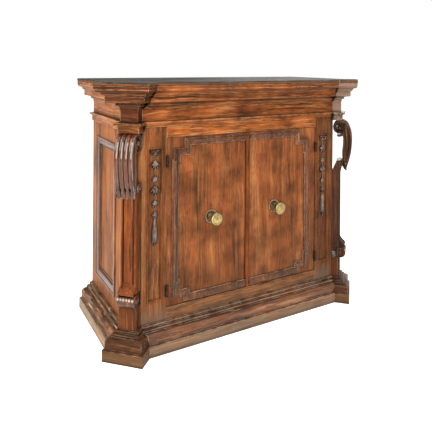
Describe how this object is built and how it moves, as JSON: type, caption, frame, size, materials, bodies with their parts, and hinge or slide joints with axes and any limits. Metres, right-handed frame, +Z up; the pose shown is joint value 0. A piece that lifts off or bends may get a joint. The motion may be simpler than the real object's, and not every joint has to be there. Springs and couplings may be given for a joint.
{
  "type": "sideboard",
  "caption": "Walnut sideboard with canted corners, carved scroll consoles, moulded plinth and cornice, and a pair of doors with brass knobs over a shelved cupboard.",
  "frame": {"origin": "middle of the bounding box on the floor", "axes": "+Z up, the doors face -Y, +X to the right seen from the front"},
  "size_m": [1.3518, 0.626, 1.05],
  "materials": {
    "walnut": "old waxed walnut, satin",
    "dark_walnut": "dark polished walnut",
    "plank_walnut": "waxed walnut boards, satin",
    "inner_wood": "bare softwood, matte",
    "black_wood": "blackened worn wood",
    "brass": "aged brass, satin",
    "iron": "dark wrought iron"
  },
  "bodies": {
    "case": {"plinth_front": "walnut", "plinth_left_side": "walnut", "plinth_right_side": "walnut", "plinth_left_block": "walnut", "plinth_right_block": "walnut", "plinth_back_rail": "inner_wood", "floor_board": "inner_wood", "left_post": "walnut", "right_post": "walnut", "left_pilaster": "walnut", "right_pilaster": "walnut", "left_pilaster_moulding": "dark_walnut", "right_pilaster_moulding": "dark_walnut", "left_pendant": "dark_walnut", "right_pendant": "dark_walnut", "top_rail": "walnut", "bottom_rail": "walnut", "left_side_frame": "walnut", "right_side_frame": "walnut", "left_side_panel": "plank_walnut", "right_side_panel": "plank_walnut", "left_side_moulding": "dark_walnut", "right_side_moulding": "dark_walnut", "back_boards": "inner_wood", "shelf": "inner_wood", "shelf_bearers": "inner_wood", "left_die": "dark_walnut", "right_die": "dark_walnut", "left_console": "dark_walnut", "right_console": "dark_walnut", "left_cap": "walnut", "right_cap": "walnut", "front_necking": "walnut", "side_neckings": "walnut", "front_frieze": "walnut", "side_friezes": "walnut", "frieze_blocks": "walnut", "front_cornice": "walnut", "side_cornices": "walnut", "cornice_blocks": "walnut", "top_board": "black_wood", "top_corners": "black_wood", "left_hinge_plates": "iron", "right_hinge_plates": "iron"},
    "left_door": {"left_door_boards": "plank_walnut", "left_door_battens": "inner_wood", "left_door_moulding": "dark_walnut", "left_door_hinges": "iron", "left_rose": "iron", "left_knob": "brass", "left_knob_nut": "iron"},
    "right_door": {"right_door_boards": "plank_walnut", "right_door_battens": "inner_wood", "right_door_moulding": "dark_walnut", "closing_bead": "walnut", "right_door_hinges": "iron", "right_rose": "iron", "right_knob": "brass", "right_knob_nut": "iron"}
  },
  "joints": [
    {"name": "left_door_hinge", "type": "hinge", "parent": "case", "child": "left_door", "pos_m": [-0.379, -0.17937, 0.49], "axis": [0, 0, -1], "range_deg": [0, 110]},
    {"name": "right_door_hinge", "type": "hinge", "parent": "case", "child": "right_door", "pos_m": [0.379, -0.17937, 0.49], "axis": [0, 0, 1], "range_deg": [0, 110]}
  ]
}
